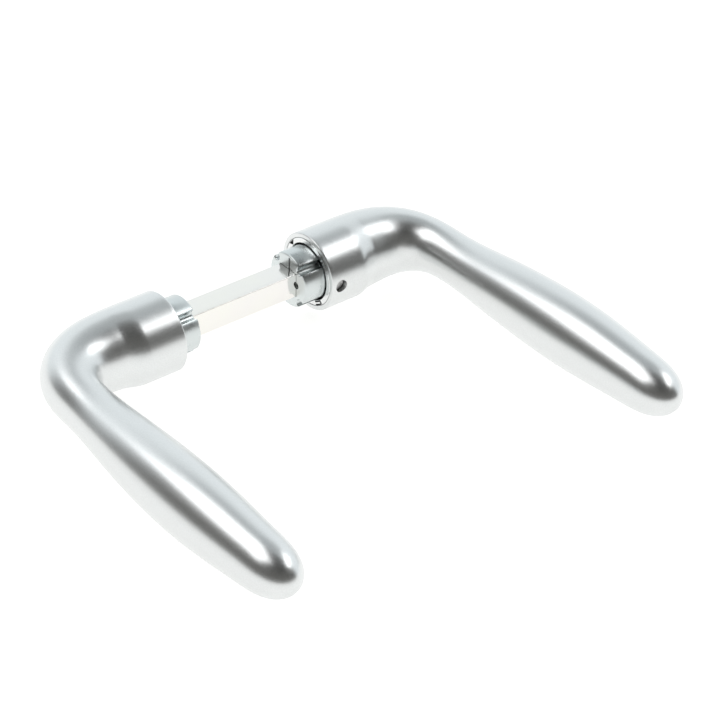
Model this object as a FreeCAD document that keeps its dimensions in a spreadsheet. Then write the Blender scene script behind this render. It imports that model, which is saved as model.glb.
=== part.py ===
import FreeCAD, Part
import math
import os
import Sketcher

# A pair of lever handles on one square spindle. +X runs along the spindle towards the loose
# (right) lever, the grips point along -Y, +Z is up, and the origin is the middle of the
# spindle's free length, where the lock's follower sits. Lengths are millimetres, angles degrees.

Vector = FreeCAD.Vector
ORIGIN = Vector(0, 0, 0)
ALONG_X = Vector(1, 0, 0)
ALONG_Y = Vector(0, 1, 0)
ALONG_Z = Vector(0, 0, 1)

SIZES = {
    # spindle and the distance between the two levers
    "face_gap": 53.0,
    "spindle_size": 8.0,
    "spindle_chamfer": 0.6,
    "spindle_end_left": 18.0,
    "spindle_end_right": 17.0,
    "square_play": 0.05,
    # lever neck
    "hub_radius": 12.5,
    "hub_edge": 0.35,
    "hub_length": 17.2,
    "hub_shoulder": 5.0,
    "cup_radius": 11.0,
    "cup_depth": 12.2,
    "socket_radius": 6.6,
    "socket_depth": 24.0,
    # lever bend and grip
    "bar_offset": 0.9,
    "bend_start": 20.3,
    "bend_run": 32.2,
    "bend_lead": 0.27,
    "bend_angle": 86.6,
    "bend_rise": 0.8,
    "grip_run": 98.4,
    "grip_bow": 5.2,
    "neck_width": 11.4,
    "neck_height": 12.2,
    "neck_run": 14.8,
    "tip_run": 15.6,
    "tip_power": 3.1,
    # lobed collar
    "collar_reach": 7.4,
    "collar_radius": 8.8,
    "collar_root": 0.6,
    "collar_edge": 0.5,
    "collar_neck": 7.0,
    "collar_end": 20.0,
    "notch_radius": 1.35,
    "notch_centre": 8.1,
    "relief_radius": 1.2,
    "slit_width": 0.5,
    "slit_offset": 0.6,
    "slit_depth": 1.2,
    # marker ring and the snap ring that keeps it in
    "ring_inner": 9.25,
    "ring_outer": 10.95,
    "ring_depth": 1.15,
    "ring_groove": 10.2,
    "snap_start": 0.35,
    "snap_width": 0.4,
    "snap_inner": 10.5,
    "snap_outer": 11.4,
    "snap_groove": 11.45,
    "snap_slack": 0.05,
    "snap_gap": 5.0,
    "mark_depth": 0.4,
    "mark_triangle_turn": 40.0,
    "mark_hook_turn": -123.0,
    "lug_inner": 9.4,
    "lug_outer": 10.8,
    "lug_depth": 1.5,
    "stop_turn": 61.6,
    "stop_spread": 4.0,
    "drive_turn": 9.0,
    "drive_spread": 4.0,
    # grub screw, spindle pin and anti-rattle wire
    "screw_depth": 3.3,
    "screw_radius": 1.95,
    "screw_hole": 2.0,
    "screw_length": 7.0,
    "screw_hex": 2.0,
    "screw_socket": 2.2,
    "screw_bite": 0.02,
    "screw_chamfer": 0.3,
    "pin_bore": 1.2,
    "pin_slit": 0.8,
    "wire_radius": 0.4,
    "wire_start": 6.5,
    "wire_end": 16.5,
    "wire_bow": 0.3,
    # return spring
    "spring_wire": 0.65,
    "spring_radius": 10.0,
    "spring_start": 6.2,
    "spring_pitch": 1.45,
    "spring_turns": 3.5,
    "spring_front": 1.4,
    "spring_hole": 0.8,
    "spring_anchor": 1.5,
}

# The bar's half-thicknesses, sideways and upwards, at fractions of the grip's length. The first
# two stations lie before the grip, in the bend.
GRIP_STATIONS = (
    (-0.20, 10.0, 10.4),
    (-0.08, 8.0, 8.6),
    (0.06, 7.9, 7.9),
    (0.22, 9.1, 9.1),
    (0.40, 10.1, 10.3),
    (0.58, 10.2, 10.5),
    (0.76, 9.2, 9.4),
    (0.93, 8.0, 8.0),
)

SECTION_POINTS = 16
LINE_STEPS = 600
SLOPE_ROUNDS = 60

doc = FreeCAD.newDocument("lever_handle_pair")


def make_sheet():
    """The spreadsheet that holds the driving dimensions, one alias a row."""
    sheet = doc.addObject("Spreadsheet::Sheet", "sizes")
    for row, (name, value) in enumerate(SIZES.items(), start=1):
        sheet.set("A%d" % row, name)
        sheet.set("B%d" % row, str(value))
        sheet.setAlias("B%d" % row, name)
    doc.recompute()
    return sheet


sheet = make_sheet()


def size(name):
    """A driving dimension's value, read from its cell."""
    return float(sheet.get(name))


def cell(name):
    """A driving dimension as it is written in an expression."""
    return "sizes.%s" % name


# ---------------------------------------------------------------- building blocks


def origin_plane(body, role):
    """One of a body's own origin planes or axes, found by its role."""
    return next(item for item in body.Origin.OriginFeatures if item.Role == role)


def new_sketch(body, name, role="YZ_Plane", offset="0"):
    """A sketch on a body's origin plane, moved along the plane's normal by an expression."""
    sketch = body.newObject("Sketcher::SketchObject", name)
    sketch.AttachmentSupport = [(origin_plane(body, role), "")]
    sketch.MapMode = "FlatFace"
    sketch.setExpression("AttachmentOffset.Base.z", offset)
    return sketch


def circle_in(sketch, radius, across="0", up="0"):
    """A circle whose radius and centre are bound to expressions."""
    index = sketch.addGeometry(Part.Circle(Vector(0.1, 0.1, 0), ALONG_Z, 1.0), False)
    bind(sketch, Sketcher.Constraint("Radius", index, 1.0), radius)
    if across == "0" and up == "0":
        sketch.addConstraint(Sketcher.Constraint("Coincident", index, 3, -1, 1))
        return index
    bind(sketch, Sketcher.Constraint("DistanceX", -1, 1, index, 3, 1.0), across)
    bind(sketch, Sketcher.Constraint("DistanceY", -1, 1, index, 3, 1.0), up)
    return index


def polygon_in(sketch, corners):
    """A closed outline whose corners are pairs of expressions."""
    count = len(corners)
    turns = [2 * math.pi * i / count for i in range(count)]
    places = [Vector(math.cos(turn), math.sin(turn), 0) for turn in turns]
    lines = [
        sketch.addGeometry(Part.LineSegment(places[i], places[(i + 1) % count]), False)
        for i in range(count)
    ]
    for i, line in enumerate(lines):
        sketch.addConstraint(Sketcher.Constraint("Coincident", line, 2, lines[(i + 1) % count], 1))
    for line, (across, up) in zip(lines, corners):
        bind(sketch, Sketcher.Constraint("DistanceX", -1, 1, line, 1, 1.0), across)
        bind(sketch, Sketcher.Constraint("DistanceY", -1, 1, line, 1, 1.0), up)


def bind(sketch, constraint, expression):
    """Add a dimension to a sketch and bind it to an expression."""
    index = sketch.addConstraint(constraint)
    sketch.setExpression("Constraints[%d]" % index, expression)


def pad(body, sketch, length, name="Pad"):
    """Raise a sketch along its normal."""
    feature = body.newObject("PartDesign::Pad", name)
    feature.Profile = sketch
    feature.setExpression("Length", length)
    return feature


def pocket(body, sketch, length, name="Pocket", away=True):
    """Cut a sketch into the body, along its normal when away is true."""
    doc.recompute()
    before = body.Tip.Shape.Volume
    feature = body.newObject("PartDesign::Pocket", name)
    feature.Profile = sketch
    feature.Type = "Length"
    feature.setExpression("Length", length)
    feature.Reversed = away
    doc.recompute()
    if not feature.Shape.Volume < before - 1e-6:
        raise RuntimeError("%s in %s cuts nothing" % (name, body.Label))
    return feature


def repeat_round(body, features, count, name="PolarPattern"):
    """Repeat features evenly round the X axis, and make the pattern the body's tip."""
    pattern = body.newObject("PartDesign::PolarPattern", name)
    pattern.Originals = features
    pattern.Axis = (origin_plane(body, "X_Axis"), [""])
    pattern.Angle = 360
    pattern.Occurrences = count
    body.Tip = pattern
    doc.recompute()
    return pattern


def side_placement(side):
    """Where a neck's own frame stands: its face at x = 0, +X into the neck, the screw at -Y."""
    half = size("face_gap") / 2
    if side == "right":
        return FreeCAD.Placement(Vector(half, 0, 0), FreeCAD.Rotation())
    return FreeCAD.Placement(Vector(-half, 0, 0), FreeCAD.Rotation(ALONG_Z, 180))


def put_on_side(piece, side):
    """Set a piece that was built in a neck's own frame on the right or left lever."""
    piece.Placement = side_placement(side)


def place_on_side(piece, side, offset, rotation):
    """Turn and move a primitive in the neck's own frame, and then set it on its side."""
    piece.Placement = side_placement(side).multiply(FreeCAD.Placement(offset, rotation))


def new_body(label):
    """An empty body with its label."""
    body = doc.addObject("PartDesign::Body", label)
    body.Label = label
    return body


def new_feature(label, shape):
    """A feature that holds a shape made with Part's functions."""
    piece = doc.addObject("Part::Feature", label)
    piece.Label = label
    piece.Shape = shape
    return piece


def primitive(kind, label, **sizes):
    """A Part primitive whose sizes are bound to expressions."""
    item = doc.addObject(kind, label)
    item.Label = label
    for name, expression in sizes.items():
        item.setExpression(name, expression)
    return item


def cut_from(base, tool, label):
    """One primitive or boolean less another."""
    item = doc.addObject("Part::Cut", label)
    item.Label = label
    item.Base = base
    item.Tool = tool
    doc.recompute()
    return item


def chamfer_ends(body, name, alias, axis="X", front_only=False):
    """Chamfer the outline of a bar's end faces."""
    base = body.Tip
    box = base.Shape.BoundBox
    low = getattr(box, axis + "Min")
    high = getattr(box, axis + "Max")
    ends = (low,) if front_only else (low, high)
    edges = []
    for index, edge in enumerate(base.Shape.Edges):
        edge_box = edge.BoundBox
        edge_low = getattr(edge_box, axis + "Min")
        edge_high = getattr(edge_box, axis + "Max")
        if any(abs(edge_low - end) < 1e-4 and abs(edge_high - end) < 1e-4 for end in ends):
            edges.append("Edge%d" % (index + 1))
    feature = body.newObject("PartDesign::Chamfer", name)
    feature.Base = (base, edges)
    feature.setExpression("Size", cell(alias))
    doc.recompute()
    return feature


def cylinder_x(radius, start, end, across=0.0, up=0.0):
    """A cylinder along X between two places."""
    return Part.makeCylinder(radius, end - start, Vector(start, across, up), ALONG_X)


# ---------------------------------------------------------------- lever


def smooth_step(value):
    """Nought to one with level ends."""
    value = min(1.0, max(0.0, value))
    return value * value * (3 - 2 * value)


def bend_share(along):
    """How much of the bend's angle is turned at a fraction of its length: more in its first half."""
    along = min(1.0, max(0.0, along))
    early = 1 - (1 - along) ** 2
    return (1 - size("bend_lead")) * smooth_step(along) + size("bend_lead") * early


def centre_line():
    """The bar's middle line: distance run, x, y, heading, in even steps."""
    grip_start = size("bend_start") + size("bend_run")
    step = (grip_start + size("grip_run")) / LINE_STEPS
    x = 0.0
    y = size("bar_offset")
    line = []
    for index in range(LINE_STEPS + 1):
        run = index * step
        turn = size("bend_angle") * bend_share((run - size("bend_start")) / size("bend_run"))
        along = max(0.0, (run - grip_start) / size("grip_run"))
        heading = math.radians(turn + size("grip_bow") * along)
        line.append((run, x, y, heading))
        x += math.cos(heading) * step
        y -= math.sin(heading) * step
    return line


def station_slopes(stations):
    """Slopes at (place, value) stations for an even curve: level at its start, straight at its end."""
    gaps = [b[0] - a[0] for a, b in zip(stations, stations[1:])]
    rises = [(b[1] - a[1]) / gap for a, b, gap in zip(stations, stations[1:], gaps)]
    slopes = [0.0] * len(stations)
    for _ in range(SLOPE_ROUNDS):
        for i in range(1, len(gaps)):
            wanted = 3 * (rises[i - 1] / gaps[i - 1] + rises[i] / gaps[i])
            neighbours = slopes[i - 1] / gaps[i - 1] + slopes[i + 1] / gaps[i]
            slopes[i] = (wanted - neighbours) / (2 / gaps[i - 1] + 2 / gaps[i])
        slopes[-1] = (3 * rises[-1] - slopes[-2]) / 2
    return slopes


def curve_at(stations, place):
    """The even curve's value at a place; past its last station it runs on straight."""
    if place <= stations[0][0]:
        return stations[0][1]
    slopes = station_slopes(stations)
    if place >= stations[-1][0]:
        return stations[-1][1] + slopes[-1] * (place - stations[-1][0])
    index = next(i for i in range(len(stations) - 1) if place <= stations[i + 1][0])
    start, low = stations[index]
    width = stations[index + 1][0] - start
    high = stations[index + 1][1]
    u = (place - start) / width
    return (
        low * (2 * u**3 - 3 * u**2 + 1)
        + high * (3 * u**2 - 2 * u**3)
        + slopes[index] * width * (u**3 - 2 * u**2 + u)
        + slopes[index + 1] * width * (u**3 - u**2)
    )


def bar_half_sizes(run):
    """Half the bar's width and half its height at a distance along its middle line."""
    grip_start = size("bend_start") + size("bend_run")
    total = grip_start + size("grip_run")
    widths = [(size("neck_run"), size("neck_width"))]
    heights = [(size("neck_run"), size("neck_height"))]
    for fraction, width, height in GRIP_STATIONS:
        widths.append((grip_start + fraction * size("grip_run"), width))
        heights.append((grip_start + fraction * size("grip_run"), height))
    tip = max(0.0, (run - (total - size("tip_run"))) / size("tip_run"))
    rounding = math.sqrt(max(0.0, 1 - tip ** size("tip_power")))
    return curve_at(widths, run) * rounding, curve_at(heights, run) * rounding


def bar_lift(run):
    """The middle line's height, which rises a little through the bend."""
    return size("bend_rise") * smooth_step((run - size("bend_start")) / size("bend_run"))


def bar_section(line, run):
    """A closed oval across the middle line at a distance along it."""
    step = line[1][0]
    _, x, y, heading = line[min(LINE_STEPS, round(run / step))]
    width, height = bar_half_sizes(run)
    lift = bar_lift(run)
    points = []
    for index in range(SECTION_POINTS):
        angle = 2 * math.pi * index / SECTION_POINTS
        out = width * math.cos(angle)
        up = lift + height * math.sin(angle)
        points.append(Vector(x + out * math.sin(heading), y + out * math.cos(heading), up))
    curve = Part.BSplineCurve()
    curve.interpolate(Points=points, PeriodicFlag=True)
    return Part.Wire([curve.toShape()])


def bar_solid():
    """The bar that leaves the neck, turns through the bend and runs to the rounded tip."""
    line = centre_line()
    bend_start = size("bend_start")
    grip_start = bend_start + size("bend_run")
    tip_start = grip_start + size("grip_run") - size("tip_run")
    runs = [bend_start * 0.6, bend_start * 0.8]
    runs += [bend_start + size("bend_run") * i / 8 for i in range(8)]
    runs += [grip_start + (tip_start - grip_start) * i / 8 for i in range(8)]
    runs += [tip_start + size("tip_run") * u for u in (0.0, 0.3, 0.55, 0.75, 0.88, 0.955, 0.99)]
    return Part.makeLoft([bar_section(line, run) for run in runs], True, False, False)


def hub_solid():
    """The round neck: a straight run with a rounded far shoulder, its rim slightly bevelled."""
    radius = size("hub_radius")
    length = size("hub_length")
    edge = size("hub_edge")
    bevel = Part.makeCone(radius - edge, radius, edge, ORIGIN, ALONG_X)
    barrel = cylinder_x(radius, edge, length)
    far_edge = next(item for item in barrel.Edges if abs(item.BoundBox.XMin - length) < 1e-4)
    return bevel.fuse(barrel.makeFillet(size("hub_shoulder"), [far_edge])).removeSplitter()


def neck_spaces():
    """What is bored out of a neck: cup, socket, snap ring groove, screw hole and spring anchor."""
    cup = size("cup_depth")
    snap = size("snap_start")
    hole_start = Vector(size("screw_depth"), -size("ring_inner"), 0)
    hole_length = size("hub_radius") - size("ring_inner") + 1
    last_angle = 2 * math.pi * size("spring_turns")
    return [
        cylinder_x(size("cup_radius"), -1.0, cup),
        cylinder_x(size("socket_radius"), cup - 0.5, size("socket_depth")),
        cylinder_x(size("snap_groove"), snap, snap + size("snap_width")),
        Part.makeCylinder(size("screw_hole"), hole_length, hole_start, -ALONG_Y),
        cylinder_x(
            size("spring_hole"),
            cup - 0.5,
            cup + size("spring_anchor") + 0.3,
            size("spring_radius") * math.cos(last_angle),
            size("spring_radius") * math.sin(last_angle),
        ),
    ]


def make_lever(side):
    """One aluminium lever: neck, bend and grip in one casting, bored for what it holds."""
    solid = hub_solid().fuse(bar_solid()).removeSplitter()
    tools = neck_spaces()
    if side == "left":
        solid = solid.mirror(ORIGIN, ALONG_X)
        tools = [tool.rotated(ORIGIN, ALONG_Z, 180) for tool in tools]
    for tool in tools:
        solid = solid.cut(tool)
    piece = new_feature("lever_" + side, solid)
    piece.Placement = FreeCAD.Placement(side_placement(side).Base, FreeCAD.Rotation())
    return piece


# ---------------------------------------------------------------- collar


def make_collar(side):
    """The die-cast collar: a four-lobed head outside the neck and a shank pressed into it."""
    body = new_body("collar_" + side)
    head_start = "-sizes.collar_reach"
    head_length = "sizes.collar_reach + sizes.collar_root"
    full_length = "sizes.collar_reach + sizes.collar_end"
    head = new_sketch(body, "head", offset=head_start)
    circle_in(head, cell("collar_radius"))
    pad(body, head, head_length, "head_pad")
    doc.recompute()
    chamfer_ends(body, "head_edge", "collar_edge", front_only=True)
    shank = new_sketch(body, "shank", offset=cell("collar_root"))
    circle_in(shank, cell("collar_neck"))
    pad(body, shank, "sizes.cup_depth - sizes.collar_root", "shank_pad")
    tail = new_sketch(body, "tail", offset=cell("cup_depth"))
    circle_in(tail, cell("socket_radius"))
    pad(body, tail, "sizes.collar_end - sizes.cup_depth", "tail_pad")
    doc.recompute()
    cut_notches(body, head_start, head_length)
    square = new_sketch(body, "square", offset=head_start)
    half = "(sizes.spindle_size / 2 + sizes.square_play)"
    polygon_in(square, square_corners(half))
    pocket(body, square, full_length, "square_hole")
    relief = new_sketch(body, "relief", offset=head_start)
    circle_in(relief, cell("relief_radius"), "-sizes.spindle_size / 2", "0")
    pocket(body, relief, full_length, "wire_groove")
    slit = new_sketch(body, "slit", offset=head_start)
    near = "(-sizes.slit_offset + sizes.slit_width / 2)"
    far = "(-sizes.slit_offset - sizes.slit_width / 2)"
    low = "(sizes.spindle_size / 2)"
    high = "(sizes.collar_radius - sizes.collar_edge)"
    polygon_in(slit, [(far, low), (near, low), (near, high), (far, high)])
    pocket(body, slit, cell("slit_depth"), "slit_cut")
    cross = new_sketch(body, "cross", role="XZ_Plane", offset="sizes.spindle_size / 2 - 0.5")
    circle_in(cross, cell("screw_hole"), cell("screw_depth"), "0")
    pocket(body, cross, cell("collar_neck"), "screw_thread")
    put_on_side(body, side)
    return body


def square_corners(half):
    """The four corners of a square about the axis."""
    return [("-" + half, "-" + half), (half, "-" + half), (half, half), ("-" + half, half)]


def cut_notches(body, start, length):
    """Four round-bottomed notches on the diagonals, which leave the four lobes."""
    notch = new_sketch(body, "notch", offset=start)
    diagonal = "%s * cos(45 deg)"
    circle_in(notch, cell("notch_radius"), diagonal % cell("notch_centre"), diagonal % cell("notch_centre"))
    floor_cut = pocket(body, notch, length, "notch_cut")
    mouth = new_sketch(body, "mouth", offset=start)
    more = "((%s + sizes.notch_radius) * cos(45 deg))"
    less = "((%s - sizes.notch_radius) * cos(45 deg))"
    centre = cell("notch_centre")
    outside = "sizes.collar_radius + 2"
    corners = [
        (more % centre, less % centre),
        (more % outside, less % outside),
        (less % outside, more % outside),
        (less % centre, more % centre),
    ]
    polygon_in(mouth, corners)
    mouth_cut = pocket(body, mouth, length, "mouth_cut")
    repeat_round(body, [floor_cut, mouth_cut], 4, "lobes")


# ---------------------------------------------------------------- marker ring and snap ring


def sector_corners(inner, outer, turn, spread):
    """Four corners of a short stretch of a ring, given by expressions in degrees."""
    places = [(inner, "-"), (outer, "-"), (outer, "+"), (inner, "+")]
    corners = []
    for radius, sign in places:
        angle = "(%s %s %s) * 1 deg" % (turn, sign, spread)
        corners.append(("%s * cos(%s)" % (radius, angle), "%s * sin(%s)" % (radius, angle)))
    return corners


def make_marker_ring(side):
    """The ring that the rose holds still while the lever turns, with two sunk marks and rear lugs."""
    body = new_body("marker_ring_" + side)
    blank = new_sketch(body, "blank")
    circle_in(blank, cell("ring_outer"))
    circle_in(blank, cell("ring_inner"))
    pad(body, blank, cell("ring_depth"), "ring_pad")
    doc.recompute()
    for number, turn in enumerate(("180 + sizes.stop_turn", "180 - sizes.stop_turn")):
        add_lug(body, "stop%d" % number, turn, cell("stop_spread"))
    for number, turn in enumerate((cell("drive_turn"), "-" + cell("drive_turn"))):
        add_lug(body, "drive%d" % number, turn, cell("drive_spread"))
    groove = new_sketch(body, "groove", offset="sizes.snap_start - sizes.snap_slack")
    circle_in(groove, "sizes.ring_outer + 1")
    circle_in(groove, cell("ring_groove"))
    pocket(body, groove, "sizes.snap_width + 2 * sizes.snap_slack", "snap_groove")
    middle = "((sizes.ring_inner + sizes.ring_outer) / 2)"
    triangle = new_sketch(body, "triangle")
    turn = "((%s) * 1 deg)"
    corners = []
    for radial, spread in ((-0.72, 0), (0.7, 8.5), (0.7, -8.5)):
        angle = turn % ("sizes.mark_triangle_turn + %s" % spread)
        radius = "(%s + %s)" % (middle, radial)
        corners.append(("%s * cos(%s)" % (radius, angle), "%s * sin(%s)" % (radius, angle)))
    polygon_in(triangle, corners)
    pocket(body, triangle, cell("mark_depth"), "triangle_mark")
    hook = (
        ("prong0", -0.7, -0.25, 0.0, 9.5),
        ("prong1", 0.25, 0.7, 0.0, 9.5),
        ("bend", -0.3, 0.3, -7.5, 2.0),
    )
    for name, inner, outer, shift, spread in hook:
        bar = new_sketch(body, name)
        inner_radius = "(%s + %s)" % (middle, inner)
        outer_radius = "(%s + %s)" % (middle, outer)
        turn = "sizes.mark_hook_turn + %s" % shift
        polygon_in(bar, sector_corners(inner_radius, outer_radius, turn, str(spread)))
        pocket(body, bar, cell("mark_depth"), name + "_mark")
    put_on_side(body, side)
    return body


def add_lug(body, name, turn, spread):
    """A small block on the ring's back."""
    lug = new_sketch(body, name, offset=cell("ring_depth"))
    polygon_in(lug, sector_corners(cell("lug_inner"), cell("lug_outer"), turn, spread))
    pad(body, lug, cell("lug_depth"), name + "_pad")


def make_snap_ring(side):
    """An open ring of flat wire, half in the neck's groove and half in the marker ring's."""
    label = "snap_ring_" + side
    depth = cell("snap_width")
    outer = primitive("Part::Cylinder", label + "_outer", Radius=cell("snap_outer"), Height=depth + " - 0.1")
    inner = primitive("Part::Cylinder", label + "_inner", Radius=cell("snap_inner"), Height=depth)
    reach = "sizes.snap_outer + 1"
    gap = primitive("Part::Box", label + "_gap", Length=reach, Width=cell("snap_gap"), Height=depth)
    gap.setExpression("Placement.Base.y", "-sizes.snap_gap / 2")
    hollow = cut_from(outer, inner, label + "_hollow")
    piece = cut_from(hollow, gap, label)
    turn_to_x = FreeCAD.Rotation(ALONG_Y, 90)
    place_on_side(piece, side, Vector(size("snap_start") + 0.05, 0, 0), turn_to_x)
    return piece


# ---------------------------------------------------------------- return spring and wire


def make_return_spring(side):
    """A torsion spring: coils behind the marker ring, one leg to the ring and one to the neck."""
    wire = size("spring_wire")
    radius = size("spring_radius")
    start = size("spring_start")
    turns = size("spring_turns")
    length = size("spring_pitch") * turns
    helix = Part.makeHelix(size("spring_pitch"), length, radius)
    profile = Part.Wire([Part.makeCircle(wire, Vector(radius, 0, 0), ALONG_Y)])
    coil = Part.Wire(helix.Edges).makePipeShell([profile], True, True)
    coil = coil.rotated(ORIGIN, ALONG_Y, 90).rotated(ORIGIN, ALONG_X, 90)
    coil.translate(Vector(start, 0, 0))
    first = Vector(start, radius, 0)
    last_angle = 2 * math.pi * turns
    last = Vector(start + length, radius * math.cos(last_angle), radius * math.sin(last_angle))
    pieces = [
        Part.makeSphere(wire, first),
        Part.makeSphere(wire, last),
        Part.makeCylinder(wire, start - size("spring_front"), first, -ALONG_X),
        Part.makeCylinder(wire, size("cup_depth") + size("spring_anchor") - last.x, last, ALONG_X),
    ]
    solid = coil
    for leg in pieces:
        solid = solid.fuse(leg)
    piece = new_feature("return_spring_" + side, solid)
    put_on_side(piece, side)
    return piece


def make_anti_rattle_wire():
    """A bowed spring wire in the right collar's groove, which takes up the spindle's play."""
    wire = size("wire_radius")
    start = size("wire_start")
    end = size("wire_end")
    high = -size("spindle_size") / 2 - wire - size("square_play")
    low = high - size("wire_bow")
    points = [Vector(start, low, 0), Vector((start + end) / 2, high, 0), Vector(end, low, 0)]
    arc = Part.Arc(*points)
    path = Part.Wire([arc.toShape()])
    direction = arc.tangent(arc.FirstParameter)[0]
    profile = Part.Wire([Part.makeCircle(wire, points[0], direction)])
    piece = new_feature("anti_rattle_wire", path.makePipeShell([profile], True, True))
    put_on_side(piece, "right")
    return piece


# ---------------------------------------------------------------- spindle and what fastens it


def make_spindle():
    """The square steel spindle with chamfered ends and a cross hole for the left lever's pin."""
    body = new_body("spindle")
    section = new_sketch(body, "section", offset="-(sizes.face_gap / 2 + sizes.spindle_end_left)")
    polygon_in(section, square_corners("(sizes.spindle_size / 2)"))
    pad(body, section, "sizes.face_gap + sizes.spindle_end_left + sizes.spindle_end_right", "bar")
    doc.recompute()
    chamfer_ends(body, "ends", "spindle_chamfer")
    cross = new_sketch(body, "cross", role="XZ_Plane", offset="-(sizes.spindle_size / 2 + 1)")
    circle_in(cross, cell("screw_hole"), "-(sizes.face_gap / 2 + sizes.screw_depth)", "0")
    pocket(body, cross, "sizes.spindle_size + 2", "pin_hole")
    return body


def make_grub_screw():
    """The hexagon-socket grub screw that clamps the loose lever to the spindle."""
    body = new_body("grub_screw")
    start = "sizes.spindle_size / 2 + sizes.screw_bite"
    shank = new_sketch(body, "shank", role="XZ_Plane", offset=start)
    circle_in(shank, cell("screw_radius"), cell("screw_depth"), "0")
    pad(body, shank, cell("screw_length"), "shank_pad")
    doc.recompute()
    chamfer_ends(body, "point", "screw_chamfer", axis="Y")
    hexagon = new_sketch(body, "hexagon", role="XZ_Plane", offset="%s + sizes.screw_length" % start)
    corners = []
    reach = "(sizes.screw_hex / 2 / cos(30 deg))"
    for index in range(6):
        spot = (reach, "%d deg" % (60 * index))
        corners.append(("sizes.screw_depth + %s * cos(%s)" % spot, "%s * sin(%s)" % spot))
    polygon_in(hexagon, corners)
    pocket(body, hexagon, cell("screw_socket"), "key_socket", away=False)
    put_on_side(body, "right")
    return body


def make_spindle_pin():
    """The slotted spring pin that fixes the spindle in the left lever."""
    length = "sizes.spindle_size + sizes.screw_length"
    outer = primitive("Part::Cylinder", "pin_outer", Radius=cell("screw_radius"), Height=length)
    inner = primitive("Part::Cylinder", "pin_inner", Radius=cell("pin_bore"), Height=length)
    reach = "sizes.screw_radius + 1"
    slit = primitive("Part::Box", "pin_slot", Length=reach, Width=cell("pin_slit"), Height=length)
    slit.setExpression("Placement.Base.y", "-sizes.pin_slit / 2")
    piece = cut_from(cut_from(outer, inner, "pin_tube"), slit, "spindle_pin")
    along_y = FreeCAD.Rotation(ALONG_X, -90)
    start = Vector(-(size("face_gap") / 2 + size("screw_depth")), -size("spindle_size") / 2, 0)
    piece.Placement = FreeCAD.Placement(start, along_y)
    return piece


# ---------------------------------------------------------------- build, check and write


def build():
    """Every sub-part, in the order in which the pair is put together."""
    pieces = [make_spindle()]
    for side in ("left", "right"):
        pieces.append(make_lever(side))
        pieces.append(make_collar(side))
        pieces.append(make_marker_ring(side))
        pieces.append(make_snap_ring(side))
        pieces.append(make_return_spring(side))
    pieces.append(make_spindle_pin())
    pieces.append(make_grub_screw())
    pieces.append(make_anti_rattle_wire())
    doc.recompute()
    return pieces


def check(pieces):
    """Stop if any object failed or any sub-part has no sound solid."""
    for item in doc.Objects:
        if {"Invalid", "Error"} & set(item.State):
            raise RuntimeError("%s failed: %s" % (item.Label, item.State))
    for piece in pieces:
        shape = piece.Shape
        if shape.isNull() or not shape.isValid() or len(shape.Solids) != 1:
            raise RuntimeError("%s has no sound solid" % piece.Label)


def write(pieces):
    """One STEP file a sub-part, named by its label."""
    os.makedirs("parts", exist_ok=True)
    for piece in pieces:
        piece.Shape.exportStep("parts/%s.step" % piece.Label)
        box = piece.Shape.BoundBox
        print("%-20s %9.1f mm3  x %.1f..%.1f  y %.1f..%.1f  z %.1f..%.1f" % (
            piece.Label, piece.Shape.Volume, box.XMin, box.XMax, box.YMin, box.YMax, box.ZMin, box.ZMax))


sub_parts = build()
check(sub_parts)
write(sub_parts)
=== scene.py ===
import math

import bmesh
import bpy
from mathutils import Matrix, Vector


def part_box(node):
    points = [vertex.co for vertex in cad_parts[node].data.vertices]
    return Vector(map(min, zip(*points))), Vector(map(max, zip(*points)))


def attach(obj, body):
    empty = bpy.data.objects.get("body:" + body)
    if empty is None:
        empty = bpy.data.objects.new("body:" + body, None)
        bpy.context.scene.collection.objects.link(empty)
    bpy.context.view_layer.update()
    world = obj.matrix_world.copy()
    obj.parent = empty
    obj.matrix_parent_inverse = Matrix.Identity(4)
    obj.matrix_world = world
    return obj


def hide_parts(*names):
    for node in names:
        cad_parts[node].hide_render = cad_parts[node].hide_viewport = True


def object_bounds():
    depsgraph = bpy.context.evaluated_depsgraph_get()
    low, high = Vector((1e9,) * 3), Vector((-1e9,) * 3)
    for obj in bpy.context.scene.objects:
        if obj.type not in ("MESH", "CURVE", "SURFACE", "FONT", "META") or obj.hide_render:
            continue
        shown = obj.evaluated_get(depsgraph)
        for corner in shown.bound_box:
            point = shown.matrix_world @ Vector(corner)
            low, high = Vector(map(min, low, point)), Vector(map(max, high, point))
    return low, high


# A pair of satin aluminium lever handles on a square spindle. Shapes are worked out in millimetres
# in a neck's own frame: depth into the neck along +X from its face, the grip along -Y, +Z up.

MM = 0.001
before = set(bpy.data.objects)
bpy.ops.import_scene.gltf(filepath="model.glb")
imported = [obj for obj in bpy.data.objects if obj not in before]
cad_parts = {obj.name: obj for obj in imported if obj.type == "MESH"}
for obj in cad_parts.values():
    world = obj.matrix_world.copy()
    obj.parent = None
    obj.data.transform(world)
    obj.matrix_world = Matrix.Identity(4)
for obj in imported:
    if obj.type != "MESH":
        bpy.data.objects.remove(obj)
cad_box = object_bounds()


# ---------------------------------------------------------------- sizes, in millimetres

HUB_RADIUS = 12.5
RIM_ROUND = 0.45
CUP_RADIUS = 11.0
CUP_DEPTH = 12.2
SOCKET_RADIUS = 6.6
SOCKET_DEPTH = 24.0
CREASE_START = 12.0
CREASE_END = 19.0

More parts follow.
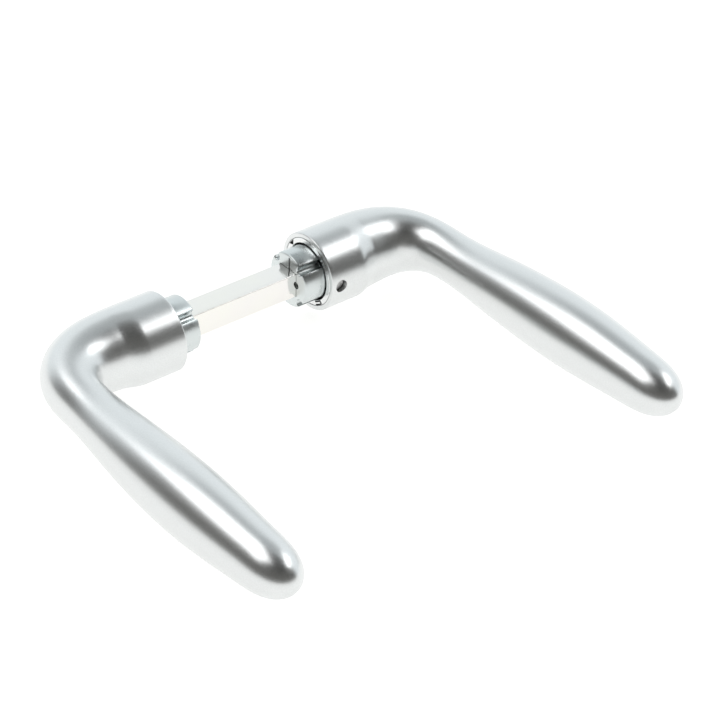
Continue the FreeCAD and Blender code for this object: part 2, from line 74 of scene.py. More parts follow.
BAR_OFFSET = 0.9
BEND_START = 20.3
BEND_RUN = 32.2
BEND_LEAD = 0.27
BEND_ANGLE = 86.6
BEND_RISE = 0.8
GRIP_RUN = 98.4
GRIP_BOW = 5.2
NECK_WIDTH = 11.4
NECK_HEIGHT = 12.2
NECK_RUN = 14.8
TIP_RUN = 15.6
TIP_POWER = 3.1
GRIP_STATIONS = (
    (-0.20, 10.0, 10.4),
    (-0.08, 8.0, 8.6),
    (0.06, 7.9, 7.9),
    (0.22, 9.1, 9.1),
    (0.40, 10.1, 10.3),
    (0.58, 10.2, 10.5),
    (0.76, 9.2, 9.4),
    (0.93, 8.0, 8.0),
)

SPINDLE_HALF = 4.0
SPINDLE_ROUND = 0.28
COLLAR_RADIUS = 8.8
COLLAR_REACH = 7.4
COLLAR_ROOT = 0.6
COLLAR_NECK = 7.0
NOTCH_RADIUS = 1.35
NOTCH_CENTRE = 8.1
LOBE_DROP = 0.12
SQUARE_HALF = 4.12
RELIEF_RADIUS = 1.2
SLIT_WIDTH = 0.5
SLIT_OFFSET = 0.6
SLIT_DEPTH = 1.2
SLIT_END = 0.75
RING_INNER = 9.25
RING_OUTER = 10.85
RING_DEPTH = 1.15
RING_EDGE = 0.14
LUG_INNER = 9.4
LUG_OUTER = 10.8
LUG_DEPTH = 1.5
LUG_TURNS = (118.4, -118.4, 9.0, -9.0)
LUG_SPREAD = 4.0
LUG_SINK = 0.2
MARK_DEPTH = 0.4
TRIANGLE_TURN = 40.0
HOOK_TURN = -123.0
SCREW_DEPTH = 3.3
SCREW_RADIUS = 1.95
SCREW_HOLE = 2.0
SCREW_HEX = 2.0
SCREW_SOCKET = 2.2
THREAD_PITCH = 0.7
THREAD_DEPTH = 0.32

AROUND = 144
ARC_STEPS = 8
CORNER_STEPS = 6
LINE_STEPS = 1200
SLOPE_ROUNDS = 60
GRIP_START = BEND_START + BEND_RUN

# ---------------------------------------------------------------- camera and surroundings

CAMERA_AZIMUTH = -38.77
CAMERA_ELEVATION = 34.69
CAMERA_ROLL = 1.1
CAMERA_DISTANCE = 0.83257
CAMERA_ACROSS = 0.03667
CAMERA_DOWN = 0.01763
CAMERA_LENS = 140.02


def camera_axes():
    """The camera's right, up and backward directions."""
    azimuth = math.radians(CAMERA_AZIMUTH)
    elevation = math.radians(CAMERA_ELEVATION)
    right = Vector((math.cos(azimuth), math.sin(azimuth), 0))
    back = Vector((
        math.sin(azimuth) * math.cos(elevation),
        -math.cos(azimuth) * math.cos(elevation),
        math.sin(elevation),
    ))
    roll = Matrix.Rotation(math.radians(CAMERA_ROLL), 3, back)
    return roll @ right, roll @ back.cross(right), back


def make_camera():
    """A long lens that looks down on the pair from the left."""
    right, up, back = camera_axes()
    data = bpy.data.cameras.new("camera")
    data.lens = CAMERA_LENS
    data.clip_start = 0.01
    data.clip_end = 20
    camera = bpy.data.objects.new("camera", data)
    bpy.context.collection.objects.link(camera)
    aim = right * CAMERA_ACROSS - up * CAMERA_DOWN
    turn = Matrix((right, up, back)).transposed()
    camera.matrix_world = Matrix.Translation(aim + back * CAMERA_DISTANCE) @ turn.to_4x4()
    bpy.context.scene.camera = camera


def add_softbox(name, azimuth, elevation, distance, width, height, radiance):
    """A rectangular lamp that faces the object; azimuth 0 is towards +Y, 90 towards +X."""
    data = bpy.data.lights.new(name, "AREA")
    data.shape = "RECTANGLE"
    data.size = width
    data.size_y = height
    data.energy = radiance * width * height * math.pi
    lamp = bpy.data.objects.new(name, data)
    bpy.context.collection.objects.link(lamp)
    azimuth = math.radians(azimuth)
    elevation = math.radians(elevation)
    away = Vector((
        math.sin(azimuth) * math.cos(elevation),
        math.cos(azimuth) * math.cos(elevation),
        math.sin(elevation),
    ))
    lamp.location = away * distance
    lamp.rotation_euler = away.to_track_quat("Z", "Y").to_euler()
    lamp.visible_camera = False


def make_lights():
    """Two large softboxes, one on each side."""
    distance = 1.3
    add_softbox("softbox_left", -52, 59, distance, width=1.05, height=0.85, radiance=2.0)
    add_softbox("softbox_right", 120, 50, distance, width=0.8, height=0.42, radiance=2.4)


def make_world():
    """A white studio: bright near the horizon, grey overhead and dark on the camera's side."""
    world = bpy.data.worlds.new("studio")
    bpy.context.scene.world = world
    world.use_nodes = True
    nodes = world.node_tree.nodes
    links = world.node_tree.links
    nodes.clear()
    place = nodes.new("ShaderNodeTexCoord")
    split = nodes.new("ShaderNodeSeparateXYZ")
    links.new(place.outputs["Generated"], split.inputs[0])
    height = nodes.new("ShaderNodeValToRGB")
    below = 0.9
    horizon = (0.95, 1.0, 1.02)
    overhead = (0.42, 0.45, 0.46)
    stops = ((0.0, below), (0.5, horizon), (0.82, horizon), (0.88, overhead), (1.0, overhead))
    set_ramp(height, stops)
    rise = nodes.new("ShaderNodeMapRange")
    rise.inputs["From Min"].default_value = -1
    links.new(split.outputs["Z"], rise.inputs["Value"])
    links.new(rise.outputs[0], height.inputs[0])
    camera_side = (-0.766, -0.643, 0)
    toward = nodes.new("ShaderNodeVectorMath")
    toward.operation = "DOT_PRODUCT"
    toward.inputs[1].default_value = camera_side
    links.new(place.outputs["Generated"], toward.inputs[0])
    share = nodes.new("ShaderNodeMapRange")
    share.inputs["From Min"].default_value = -1
    links.new(toward.outputs["Value"], share.inputs["Value"])
    dark = (0.11, 0.102, 0.094)
    shade = nodes.new("ShaderNodeValToRGB")
    set_ramp(shade, ((0.0, 1.0), (0.34, 1.0), (0.46, dark), (1.0, dark)))
    links.new(share.outputs[0], shade.inputs[0])
    product = nodes.new("ShaderNodeMix")
    product.data_type = "RGBA"
    product.blend_type = "MULTIPLY"
    product.inputs["Factor"].default_value = 1
    links.new(height.outputs[0], product.inputs["A"])
    links.new(shade.outputs[0], product.inputs["B"])
    seen = nodes.new("ShaderNodeLightPath")
    choose = nodes.new("ShaderNodeMix")
    choose.data_type = "RGBA"
    choose.inputs["B"].default_value = (1, 1, 1, 1)
    links.new(seen.outputs["Is Camera Ray"], choose.inputs["Factor"])
    links.new(product.outputs["Result"], choose.inputs["A"])
    background = nodes.new("ShaderNodeBackground")
    links.new(choose.outputs["Result"], background.inputs["Color"])
    output = nodes.new("ShaderNodeOutputWorld")
    links.new(background.outputs[0], output.inputs["Surface"])


def set_ramp(node, stops):
    """Give a colour ramp its (place, grey or colour) stops."""
    ramp = node.color_ramp
    while len(ramp.elements) > 1:
        ramp.elements.remove(ramp.elements[-1])
    for index, (place, value) in enumerate(stops):
        element = ramp.elements[0] if index == 0 else ramp.elements.new(place)
        element.position = place
        colour = (value, value, value) if isinstance(value, (int, float)) else value
        element.color = (*colour, 1)


def make_floor():
    """A plain pale floor under the pair."""
    half = 4.0
    low = cad_box[0].z
    mesh = bpy.data.meshes.new("floor")
    mesh.from_pydata(
        [(-half, -half, low), (half, -half, low), (half, half, low), (-half, half, low)],
        [],
        [(0, 1, 2, 3)],
    )
    floor = bpy.data.objects.new("floor", mesh)
    bpy.context.collection.objects.link(floor)
    material, shader = new_material("floor_white", (0.4, 0.4, 0.4), 0, 0.6)
    shader.inputs["Specular IOR Level"].default_value = 0.1
    shader.inputs["Emission Color"].default_value = (1, 1, 0.985, 1)
    shader.inputs["Emission Strength"].default_value = 0.85
    mesh.materials.append(material)


# ---------------------------------------------------------------- materials


def new_material(name, colour, metallic, roughness):
    """A material with one Principled shader."""
    material = bpy.data.materials.new(name)
    material.use_nodes = True
    shader = material.node_tree.nodes["Principled BSDF"]
    shader.inputs["Base Color"].default_value = (*colour, 1)
    shader.inputs["Metallic"].default_value = metallic
    shader.inputs["Roughness"].default_value = roughness
    return material, shader


def add_node(material, kind, **inputs):
    """A shader node with its unlinked inputs set by name."""
    node = material.node_tree.nodes.new(kind)
    for name, value in inputs.items():
        node.inputs[name.replace("_", " ")].default_value = value
    return node


def join(material, source, target):
    """Link an output to an input."""
    material.node_tree.links.new(source, target)


def grain(material, scale, detail):
    """Fine noise fixed to the object, whose scale is in grains a metre."""
    place = add_node(material, "ShaderNodeTexCoord")
    texture = add_node(material, "ShaderNodeTexNoise", Scale=scale, Detail=detail)
    join(material, place.outputs["Object"], texture.inputs["Vector"])
    return texture.outputs["Fac"]


def spread(material, value, low, high):
    """Turn noise between 0.3 and 0.7 into a value between low and high."""
    node = add_node(material, "ShaderNodeMapRange", From_Min=0.3, From_Max=0.7, To_Min=low, To_Max=high)
    join(material, value, node.inputs["Value"])
    return node.outputs[0]


def mix_colours(material, value, first, second):
    """A colour between two, by a value from 0 to 1."""
    node = add_node(material, "ShaderNodeMix")
    node.data_type = "RGBA"
    node.inputs["A"].default_value = (*first, 1)
    node.inputs["B"].default_value = (*second, 1)
    join(material, value, node.inputs["Factor"])
    return node.outputs["Result"]


def add_bump(material, shader, value, distance):
    """Raise the surface by noise, in metres."""
    node = add_node(material, "ShaderNodeBump", Distance=distance)
    join(material, value, node.inputs["Height"])
    join(material, node.outputs["Normal"], shader.inputs["Normal"])


def satin_aluminium():
    """Blasted and anodised aluminium: an even satin with a very fine grain."""
    material, shader = new_material("satin_aluminium", (0.77, 0.785, 0.785), 1, 0.32)
    fine = grain(material, 2600, 0)
    share = spread(material, fine, 0, 1)
    join(material, spread(material, fine, 0.3, 0.33), shader.inputs["Roughness"])
    tone = mix_colours(material, share, (0.75, 0.765, 0.765), (0.79, 0.805, 0.805))
    join(material, tone, shader.inputs["Base Color"])
    add_bump(material, shader, fine, 0.000001)
    return material


def plated_steel():
    """Bright zinc plate on a cold-drawn bar, with faint tints and drawing lines."""
    material, shader = new_material("plated_steel", (0.88, 0.87, 0.83), 1, 0.16)
    place = add_node(material, "ShaderNodeTexCoord")
    stretch = add_node(material, "ShaderNodeMapping", Scale=(0.03, 1, 1))
    join(material, place.outputs["Object"], stretch.inputs["Vector"])
    lines = add_node(material, "ShaderNodeTexNoise", Scale=2600.0, Detail=3.0)
    join(material, stretch.outputs[0], lines.inputs["Vector"])
    cloud = grain(material, 90, 2)
    tone = mix_colours(material, cloud, (0.9, 0.89, 0.82), (0.86, 0.84, 0.84))
    join(material, tone, shader.inputs["Base Color"])
    join(material, spread(material, lines.outputs["Fac"], 0.09, 0.17), shader.inputs["Roughness"])
    add_bump(material, shader, lines.outputs["Fac"], 0.000004)
    return material


def cast_zinc():
    """A plated die casting: pale, slightly bluish, with a soft uneven skin."""
    material, shader = new_material("cast_zinc", (0.68, 0.72, 0.72), 1, 0.32)
    cloud = grain(material, 260, 4)
    fine = grain(material, 1500, 2)
    join(material, spread(material, cloud, 0.24, 0.38), shader.inputs["Roughness"])
    tone = mix_colours(material, cloud, (0.64, 0.69, 0.69), (0.72, 0.75, 0.75))
    join(material, tone, shader.inputs["Base Color"])
    add_bump(material, shader, fine, 0.00001)
    return material


def ring_steel():
    """Zinc plate on a turned ring."""
    material, shader = new_material("ring_steel", (0.82, 0.83, 0.83), 1, 0.22)
    fine = grain(material, 1800, 3)
    join(material, spread(material, fine, 0.17, 0.3), shader.inputs["Roughness"])
    tone = mix_colours(material, fine, (0.8, 0.81, 0.81), (0.86, 0.87, 0.87))
    join(material, tone, shader.inputs["Base Color"])
    add_bump(material, shader, fine, 0.000006)
    return material


def dark_steel(name, low, high):
    """Plain or oiled steel between two greys."""
    material, shader = new_material(name, (low, low, low), 1, 0.4)
    cloud = grain(material, 500, 3)
    tone = mix_colours(material, cloud, (low, low, low), (high, high, high))
    join(material, tone, shader.inputs["Base Color"])
    join(material, spread(material, cloud, 0.3, 0.5), shader.inputs["Roughness"])
    add_bump(material, shader, cloud, 0.00001)
    return material


# ---------------------------------------------------------------- mesh building


def piece_from(name, vertices, faces, material, body, angle):
    """A piece in metres from millimetre vertices, smooth except at edges over an angle."""
    mesh = bpy.data.meshes.new(name)
    mesh.from_pydata([Vector(v) * MM for v in vertices], [], faces)
    return finish_piece(name, mesh, material, body, angle)


def finish_piece(name, mesh, material, body, angle):
    """Shade a mesh, smooth up to an angle, put it on its body and give it its material."""
    tidy = bmesh.new()
    tidy.from_mesh(mesh)
    bmesh.ops.remove_doubles(tidy, verts=tidy.verts, dist=1e-7)
    bmesh.ops.recalc_face_normals(tidy, faces=tidy.faces)
    tidy.to_mesh(mesh)
    tidy.free()
    mesh.polygons.foreach_set("use_smooth", [True] * len(mesh.polygons))
    mesh.set_sharp_from_angle(angle=math.radians(angle))
    mesh.materials.append(material)
    piece = bpy.data.objects.new(name, mesh)
    bpy.context.collection.objects.link(piece)
    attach(piece, body)
    return piece


def bands(rows, count, closed=False):
    """Faces between neighbouring rings of vertices, and from the last ring to the first if closed."""
    faces = []
    for row in range(rows if closed else rows - 1):
        below = row * count
        above = (row + 1) % rows * count
        for k in range(count):
            after = (k + 1) % count
            faces.append((below + k, below + after, above + after, above + k))
    return faces


def skin(rings):
    """Vertices and faces through closed rings of equal count, with a fan at each end."""
    count = len(rings[0])
    vertices = [point for ring in rings for point in ring]
    faces = bands(len(rings), count)
    for row, order in ((0, -1), (len(rings) - 1, 1)):
        middle = sum((Vector(p) for p in rings[row]), Vector()) / count
        vertices.append(middle)
        centre = len(vertices) - 1
        for k in range(count):
            fan = (row * count + k, row * count + (k + 1) % count, centre)
            faces.append(fan[::order])
    return vertices, faces


def cut(mesh_a, mesh_b):
    """The first mesh less the second, as a new mesh."""
    holders = []
    for mesh in (mesh_a, mesh_b):
        holder = bpy.data.objects.new("holder", mesh)
        bpy.context.collection.objects.link(holder)
        holders.append(holder)
    modifier = holders[0].modifiers.new("cut", "BOOLEAN")
    modifier.operation = "DIFFERENCE"
    modifier.solver = "EXACT"
    modifier.object = holders[1]
    graph = bpy.context.evaluated_depsgraph_get()
    result = bpy.data.meshes.new_from_object(holders[0].evaluated_get(graph))
    for holder in holders:
        bpy.data.objects.remove(holder)
    return result


def joined(mesh_a, mesh_b):
    """Two meshes as one."""
    both = bmesh.new()
    both.from_mesh(mesh_a)
    both.from_mesh(mesh_b)
    both.to_mesh(mesh_a)
    both.free()
    return mesh_a


def plain_mesh(vertices, faces):
    """A mesh in metres from millimetre vertices."""
    mesh = bpy.data.meshes.new("shape")
    mesh.from_pydata([Vector(v) * MM for v in vertices], [], faces)
    return mesh


def rod(radius, start, end, count=48):
    """A round bar between two points, in millimetres."""
    start = Vector(start)
    end = Vector(end)
    turn = (end - start).to_track_quat("Z", "Y")
    rings = []
    for centre in (start, end):
        ring = []
        for k in range(count):
            angle = math.tau * k / count
            ring.append(centre + turn @ Vector((radius * math.cos(angle), radius * math.sin(angle), 0)))
        rings.append(ring)
    return skin(rings)


def prism(outline, start, end):
    """A straight bar along X with a (y, z) outline."""
    return skin([[(x, y, z) for y, z in outline] for x in (start, end)])


# ---------------------------------------------------------------- lever


def smooth_step(value):
    """Nought to one with level ends."""
    value = min(1.0, max(0.0, value))
    return value * value * (3 - 2 * value)


def station_slopes(stations):
    """Slopes at (place, value) stations for an even curve: level at its start, straight at its end."""
    gaps = [b[0] - a[0] for a, b in zip(stations, stations[1:])]
    rises = [(b[1] - a[1]) / gap for a, b, gap in zip(stations, stations[1:], gaps)]
    slopes = [0.0] * len(stations)
    for _ in range(SLOPE_ROUNDS):
        for i in range(1, len(gaps)):
            wanted = 3 * (rises[i - 1] / gaps[i - 1] + rises[i] / gaps[i])
            neighbours = slopes[i - 1] / gaps[i - 1] + slopes[i + 1] / gaps[i]
            slopes[i] = (wanted - neighbours) / (2 / gaps[i - 1] + 2 / gaps[i])
        slopes[-1] = (3 * rises[-1] - slopes[-2]) / 2
    return slopes


def curve_at(stations, slopes, place):
    """The even curve's value at a place; past its last station it runs on straight."""
    if place <= stations[0][0]:
        return stations[0][1]
    if place >= stations[-1][0]:
        return stations[-1][1] + slopes[-1] * (place - stations[-1][0])
    index = next(i for i in range(len(stations) - 1) if place <= stations[i + 1][0])
    start, low = stations[index]
    width = stations[index + 1][0] - start
    high = stations[index + 1][1]
    u = (place - start) / width
    return (
        low * (2 * u**3 - 3 * u**2 + 1)
        + high * (3 * u**2 - 2 * u**3)
        + slopes[index] * width * (u**3 - 2 * u**2 + u)
        + slopes[index + 1] * width * (u**3 - u**2)
    )


def bend_share(along):
    """How much of the bend's angle is turned at a fraction of its length: more in its first half."""
    along = min(1.0, max(0.0, along))
    return (1 - BEND_LEAD) * smooth_step(along) + BEND_LEAD * (1 - (1 - along) ** 2)


def bar_line():
    """The bar's middle line as (x, y, heading), in even steps."""
    step = (GRIP_START + GRIP_RUN) / LINE_STEPS
    x = 0.0
    y = BAR_OFFSET
    line = []
    for index in range(LINE_STEPS + 1):
        run = index * step
        turn = BEND_ANGLE * bend_share((run - BEND_START) / BEND_RUN)
        along = max(0.0, (run - GRIP_START) / GRIP_RUN)
        heading = math.radians(turn + GRIP_BOW * along)
        line.append((x, y, heading))
        x += math.cos(heading) * step
        y -= math.sin(heading) * step
    return line


def bar_half_sizes():
    """A function of the distance run that gives half the bar's width and half its height."""
    widths = [(NECK_RUN, NECK_WIDTH)]
    heights = [(NECK_RUN, NECK_HEIGHT)]
    for fraction, width, height in GRIP_STATIONS:
        widths.append((GRIP_START + fraction * GRIP_RUN, width))
        heights.append((GRIP_START + fraction * GRIP_RUN, height))
    width_slopes = station_slopes(widths)
    height_slopes = station_slopes(heights)

    def half_sizes(run):
        tip = max(0.0, (run - (GRIP_START + GRIP_RUN - TIP_RUN)) / TIP_RUN)
        rounding = math.sqrt(max(0.0, 1 - tip**TIP_POWER))
        width = curve_at(widths, width_slopes, run) * rounding
        height = curve_at(heights, height_slopes, run) * rounding
        return width, height

    return half_sizes


def hub_half_size(depth):
    """The round neck's radius at a depth from its face."""
    short = max(0.0, RIM_ROUND - depth)
    return HUB_RADIUS - RIM_ROUND + math.sqrt(RIM_ROUND**2 - short**2)


def lever_ring(line, half_sizes, run):
    """A closed ring of the lever's skin across the bar's middle line."""
    place = min(run / (GRIP_START + GRIP_RUN) * LINE_STEPS, LINE_STEPS - 0.001)
    index = int(place)
    part = place - index
    x, y, heading = (a + (b - a) * part for a, b in zip(line[index], line[index + 1]))
    width, height = half_sizes(run)
    hub = hub_half_size(run)
    bar_share = smooth_step((run - CREASE_START) / (CREASE_END - CREASE_START))
    lift = BEND_RISE * smooth_step((run - BEND_START) / BEND_RUN)
    ring = []
    for k in range(AROUND):
        angle = math.tau * k / AROUND
        across = math.cos(angle)
        up = math.sin(angle)
        reach = width * height / max(1e-6, math.hypot(height * across, width * up))
        hub_reach = math.sqrt(hub**2 - (BAR_OFFSET * up) ** 2) - BAR_OFFSET * across
        reach = hub_reach + (reach - hub_reach) * bar_share
        out = reach * across
        ring.append((x + out * math.sin(heading), y + out * math.cos(heading), lift + reach * up))
    return ring


def circle_ring(depth, radius):
    """A ring about the neck's axis."""
    turns = [math.tau * k / AROUND for k in range(AROUND)]
    return [(depth, radius * math.cos(a), radius * math.sin(a)) for a in turns]


def even_steps(start, end, count):
    """Evenly spaced values after the start, up to and with the end."""
    return [start + (end - start) * (i + 1) / count for i in range(count)]


def lever_runs():
    """Distances at which the skin has a ring: closer at the rim, crease and tip."""
    tip_start = GRIP_START + GRIP_RUN - TIP_RUN
    runs = [RIM_ROUND * (1 - math.cos(math.pi / 2 * i / 6)) for i in range(7)]
    runs += even_steps(RIM_ROUND, CREASE_START, 14)
    runs += even_steps(CREASE_START, CREASE_END, 24)
    runs += even_steps(CREASE_END, tip_start, 150)
    runs += [tip_start + TIP_RUN * math.sin(math.pi / 2 * (i + 1) / 40) for i in range(39)]
    runs.append(tip_start + TIP_RUN * 0.9999)
    return runs


def make_lever(side, material):
    """The casting's skin with its bored cup and socket, and the hole for the screw or pin."""
    line = bar_line()
    half_sizes = bar_half_sizes()
    lip = 0.12
    inside = [
        (SOCKET_DEPTH, SOCKET_RADIUS * 0.5),
        (SOCKET_DEPTH, SOCKET_RADIUS),
        (CUP_DEPTH, SOCKET_RADIUS),
        (CUP_DEPTH, CUP_RADIUS),
        (lip, CUP_RADIUS),
        (0.0, CUP_RADIUS + lip),
    ]
    rings = [circle_ring(depth, radius) for depth, radius in inside]
    rings += [lever_ring(line, half_sizes, run) for run in lever_runs()]
    hole_turn = -1 if side == "right" else 1
    hole = rod(
        SCREW_HOLE,
        (SCREW_DEPTH, hole_turn * (CUP_RADIUS - 1.5), 0),
        (SCREW_DEPTH, hole_turn * (HUB_RADIUS + 2), 0),
    )
    mesh = cut(plain_mesh(*skin(rings)), plain_mesh(*hole))
    place_on_side(mesh, side, mirrored=True)
    lever = finish_piece("lever_%s_skin" % side, mesh, material, side + "_lever", 32)
    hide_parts("lever_" + side)


def face_distance():
    """How far each neck's face stands from the middle, in metres."""
    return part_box("lever_right")[0].x


def place_on_side(mesh, side, mirrored=False):
    """Move a mesh from the neck's own frame to its side; the left is turned, or mirrored in X."""
    move = Matrix.Translation((face_distance(), 0, 0))
    if side == "left":
        change = Matrix.Scale(-1, 4, (1, 0, 0)) if mirrored else Matrix.Rotation(math.pi, 4, "Z")
        move = change @ move
    mesh.transform(move)
    if side == "left" and mirrored:
        mesh.flip_normals()


# ---------------------------------------------------------------- collar


def collar_outline(inset=0.0):
    """The (y, z) outline of the four-lobed head, drawn in by an inset."""
    radius = COLLAR_RADIUS - inset
    half = NOTCH_RADIUS + inset * 0.6
    mouth = math.asin(half / radius)
    soft = 0.04
    edge = 0.002
    points = []
    for lobe in range(4):
        middle = math.pi / 2 * lobe
        start = middle - math.pi / 4 + mouth
        end = middle + math.pi / 4 - mouth
        points += [polar(radius - LOBE_DROP, start + edge)]
        points += [polar(radius, start + soft + (end - start - 2 * soft) * i / 16) for i in range(17)]
        points += [polar(radius - LOBE_DROP, end - edge)]
        diagonal = middle + math.pi / 4
        out = Vector((math.cos(diagonal), math.sin(diagonal)))
        across = Vector((-out.y, out.x))
        for i in range(13):
            angle = math.pi * i / 12
            spot = out * (NOTCH_CENTRE - half * math.sin(angle)) - across * half * math.cos(angle)
            points.append((spot.x, spot.y))
    return points


def polar(radius, angle):
    """A point in a plane from its radius and angle."""
    return (radius * math.cos(angle), radius * math.sin(angle))


def square_outline():
    """The (y, z) outline of the hole: a square with a half-round groove and a slit in the top lobe."""
    s = SQUARE_HALF
    near = -SLIT_OFFSET + SLIT_WIDTH / 2
    far = -SLIT_OFFSET - SLIT_WIDTH / 2
    tall = COLLAR_RADIUS - SLIT_END
    points = [(s, -s), (s, s), (near, s), (near, tall), (far, tall), (far, s), (-s, s)]
    reach = math.asin((s - SPINDLE_HALF) / RELIEF_RADIUS)
    for i in range(15):
        angle = math.pi / 2 + reach + (math.pi - 2 * reach) * i / 14
        spot = (-SPINDLE_HALF + RELIEF_RADIUS * math.cos(angle), RELIEF_RADIUS * math.sin(angle))
        points.append(spot)
    points.append((-s, -s))
    return points


def make_collar(side, material):
    """The lobed head with bevelled front edges, and the shank that goes into the neck."""
    front = -COLLAR_REACH
    bevel = ((0.0, 0.42), (0.08, 0.22), (0.22, 0.07), (0.42, 0.0))
    rings = [[(front + depth, y, z) for y, z in collar_outline(inset)] for depth, inset in bevel]
    rings.append([(COLLAR_ROOT, y, z) for y, z in collar_outline()])
    count = len(rings[0])
    vertices = [point for ring in rings for point in ring]
    faces = bands(len(rings), count)
    faces.append(tuple(range((len(rings) - 1) * count, len(rings) * count)))
    faces.append(tuple(reversed(range(count))))
    head = plain_mesh(vertices, faces)
    hole = plain_mesh(*prism(square_outline(), front - 1, front + SLIT_DEPTH))
    head = cut(head, hole)
    s = SQUARE_HALF
    square = [(s, -s), (s, s), (-s, s), (-s, -s)]
    head = cut(head, plain_mesh(*prism(square, front, COLLAR_ROOT + 1)))
    place_on_side(head, side)
    piece = finish_piece("collar_%s_head" % side, head, material, side + "_lever", 28)
    shank = plain_mesh(*rod(COLLAR_NECK, (COLLAR_ROOT, 0, 0), (CUP_DEPTH, 0, 0), 96))
    shank = cut(shank, plain_mesh(*prism(square, 0, CUP_DEPTH + 1)))
    outside = -COLLAR_NECK - 2
    screw_way = rod(SCREW_HOLE, (SCREW_DEPTH, -SPINDLE_HALF, 0), (SCREW_DEPTH, outside, 0))
    shank = cut(shank, plain_mesh(*screw_way))
    place_on_side(shank, side)
    finish_piece("collar_%s_shank" % side, shank, material, side + "_lever", 28)
    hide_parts("collar_" + side)


# ---------------------------------------------------------------- marker ring


def sector(inner, outer, turn, spread):
    """The (y, z) outline of a short stretch of a ring; its angles are in degrees from +Y."""
    turns = [math.radians(turn + spread * (2 * i / ARC_STEPS - 1)) for i in range(ARC_STEPS + 1)]
    return [polar(outer, a) for a in turns] + [polar(inner, a) for a in reversed(turns)]


def ring_marks():
    """Outlines of the two sunk marks: a filled triangle and a hook with two prongs."""
    middle = (RING_INNER + RING_OUTER) / 2
    triangle = []
    for radial, spread in ((-0.72, 0), (0.7, -8.5), (0.7, 8.5)):
        triangle.append(polar(middle + radial, math.radians(TRIANGLE_TURN + spread)))
    hook = sector(middle + 0.25, middle + 0.7, HOOK_TURN, 9.5)
    hook_back = sector(middle - 0.7, middle - 0.25, HOOK_TURN, 9.5)
    bend = sector(middle - 0.3, middle + 0.3, HOOK_TURN - 7.5, 2.0)
    return (triangle, hook, hook_back, bend)


def make_marker_ring(side, material, paint_material):
    """The flat ring in the neck's mouth, with two sunk painted marks and the lugs on its back."""
    profile = (
        (RING_DEPTH, RING_INNER),
        (RING_EDGE, RING_INNER),
        (0.0, RING_INNER + RING_EDGE),
        (0.0, RING_OUTER - RING_EDGE),
        (RING_EDGE, RING_OUTER),
        (RING_DEPTH, RING_OUTER),
    )
    rings = [circle_ring(depth, radius) for depth, radius in profile]
    vertices = [point for ring in rings for point in ring]
    plate = plain_mesh(vertices, bands(len(rings), AROUND, closed=True))
    for outline in ring_marks():
        plate = cut(plate, plain_mesh(*prism(outline, -1, MARK_DEPTH)))
    for turn in LUG_TURNS:
        outline = sector(LUG_INNER, LUG_OUTER, turn, LUG_SPREAD)
        plate = joined(plate, plain_mesh(*prism(outline, RING_DEPTH - LUG_SINK, RING_DEPTH + LUG_DEPTH)))
    place_on_side(plate, side)
    name = "marker_ring_%s_plate" % side
    piece = finish_piece(name, plate, material, side + "_ring", 30)
    piece.data.materials.append(paint_material)
    fill_marks(piece)
    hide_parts("marker_ring_" + side)


def fill_marks(piece):
    """Paint the floors and walls of the sunk marks, the only faces between the ring's two edges."""
    face = face_distance()
    slack = 0.02
    for polygon in piece.data.polygons:
        centre = polygon.center
        depth = (abs(centre.x) - face) / MM
        radius = math.hypot(centre.y, centre.z) / MM
        between_edges = RING_INNER + RING_EDGE < radius < RING_OUTER - RING_EDGE
        if between_edges and slack < depth < MARK_DEPTH + slack:
            polygon.material_index = 1


# ---------------------------------------------------------------- spindle


def make_spindle(material):
    """The square bar with rolled long edges and chamfered ends."""
    low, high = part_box("spindle")
    chamfer = 0.6
    rings = []
    start = low.x / MM
    end = high.x / MM
    ends = ((start, chamfer), (start + chamfer, 0), (end - chamfer, 0), (end, chamfer))
    for x, inset in ends:
        ring = []
        for corner in range(4):
            turn = math.pi / 2 * corner
            for i in range(CORNER_STEPS + 1):
                angle = turn + math.pi / 2 * i / CORNER_STEPS
                base = SPINDLE_HALF - SPINDLE_ROUND
                cy = base * (1 if corner in (0, 3) else -1)
                cz = base * (1 if corner in (0, 1) else -1)
                y = cy + SPINDLE_ROUND * math.cos(angle)
                z = cz + SPINDLE_ROUND * math.sin(angle)
                shrink = (SPINDLE_HALF - inset) / SPINDLE_HALF
                ring.append((x, y * shrink, z * shrink))
        rings.append(ring)
    vertices, faces = skin(rings)
    bar = piece_from("spindle_bar", vertices, faces, material, "left_lever", 40)
    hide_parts("spindle")


# ---------------------------------------------------------------- grub screw


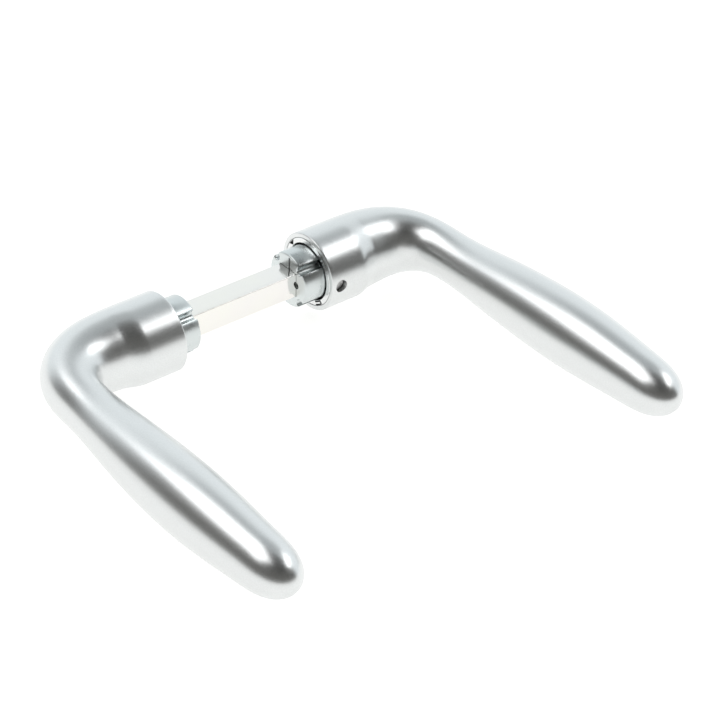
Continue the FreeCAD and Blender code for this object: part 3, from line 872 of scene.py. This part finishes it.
def make_grub_screw(material):
    """The threaded screw with a bevelled mouth and point, and a hexagon socket."""
    low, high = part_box("grub_screw")
    length = (high.y - low.y) / MM
    rows = 96
    chamfer = 0.35
    flank = 2.4
    rings = []
    for row in range(rows + 1):
        along = length * row / rows
        from_end = min(along, length - along)
        ring = []
        for k in range(AROUND // 2):
            turn = k / (AROUND // 2)
            phase = (along / THREAD_PITCH - turn) % 1.0
            depth = THREAD_DEPTH * min(1.0, flank * abs(phase - 0.5))
            radius = SCREW_RADIUS - max(depth, max(0.0, chamfer - from_end))
            angle = math.tau * turn
            ring.append((radius * math.cos(angle), low.y / MM + along, radius * math.sin(angle)))
        rings.append(ring)
    body = plain_mesh(*skin(rings))
    reach = SCREW_HEX / 2 / math.cos(math.pi / 6)
    corners = [polar(reach, math.pi / 3 * i) for i in range(6)]
    mouth = low.y / MM
    socket = skin([[(x, y, z) for x, z in corners] for y in (mouth - 1, mouth + SCREW_SOCKET)])
    body = cut(body, plain_mesh(*socket))
    body.transform(Matrix.Translation(((low.x + high.x) / 2, 0, 0)))
    piece = finish_piece("grub_screw_thread", body, material, "clamp_screw", 35)
    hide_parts("grub_screw")


# ---------------------------------------------------------------- put together


def paint(node, material):
    """Give a carried-over CAD node its material."""
    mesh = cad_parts[node].data
    mesh.materials.clear()
    mesh.materials.append(material)


def build():
    """Everything that is seen."""
    aluminium = satin_aluminium()
    zinc = cast_zinc()
    steel = plated_steel()
    ring = ring_steel()
    spring = dark_steel("spring_steel", 0.26, 0.36)
    screw_steel = dark_steel("screw_steel", 0.5, 0.6)
    paint_black = dark_steel("mark_paint", 0.03, 0.06)
    for side in ("left", "right"):
        make_lever(side, aluminium)
        make_collar(side, zinc)
        make_marker_ring(side, ring, paint_black)
        paint("snap_ring_" + side, spring)
        paint("return_spring_" + side, spring)
    make_spindle(steel)
    paint("spindle_pin", spring)
    make_grub_screw(screw_steel)
    paint("anti_rattle_wire", spring)


make_camera()
make_world()
make_lights()
make_floor()
build()
bpy.context.scene.view_settings.view_transform = "Standard"
